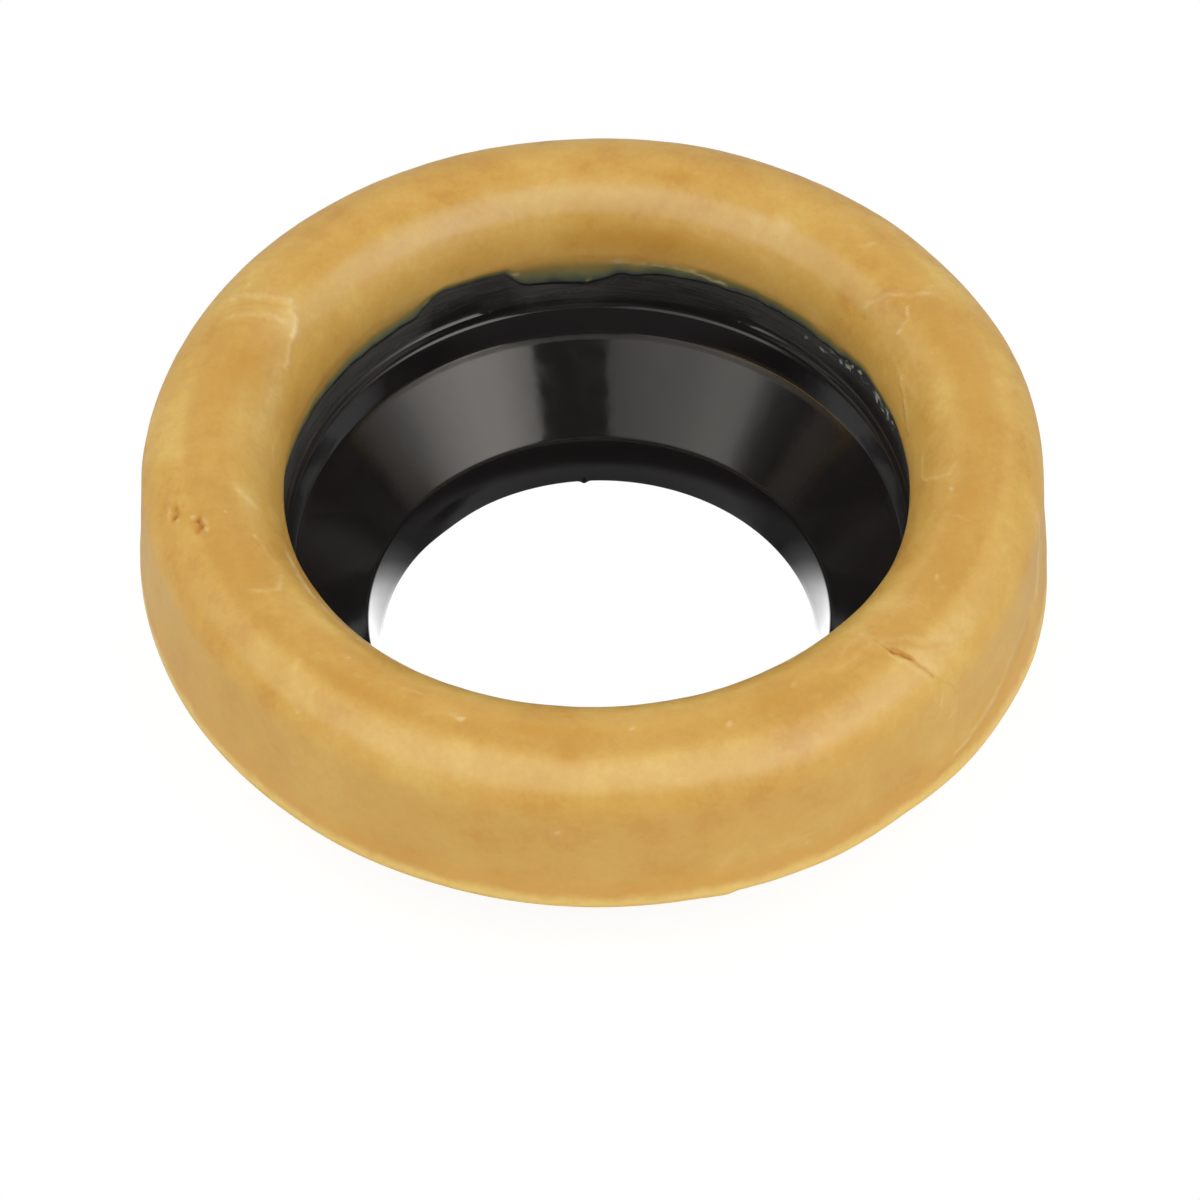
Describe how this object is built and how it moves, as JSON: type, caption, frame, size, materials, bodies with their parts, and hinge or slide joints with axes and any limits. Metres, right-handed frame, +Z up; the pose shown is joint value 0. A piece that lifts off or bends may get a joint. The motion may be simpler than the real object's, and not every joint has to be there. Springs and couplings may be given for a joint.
{
  "type": "toilet pan seal",
  "caption": "Wax sealing ring cast round the flanged horn of a black plastic sleeve, set between a toilet pan's outlet and the drain below it.",
  "frame": {"origin": "centre of the horn's outlet rim, the lowest point, on which the seal stands", "axes": "+Z up along the bore, from the outlet rim towards the wax crown that meets the pan; X and Y across the ring"},
  "size_m": [0.1268, 0.1268, 0.0464],
  "materials": {
    "wax": "satin",
    "polyethylene": "gloss"
  },
  "bodies": {
    "root": {"wax_ring": "wax", "plastic_horn": "polyethylene"}
  },
  "joints": []
}
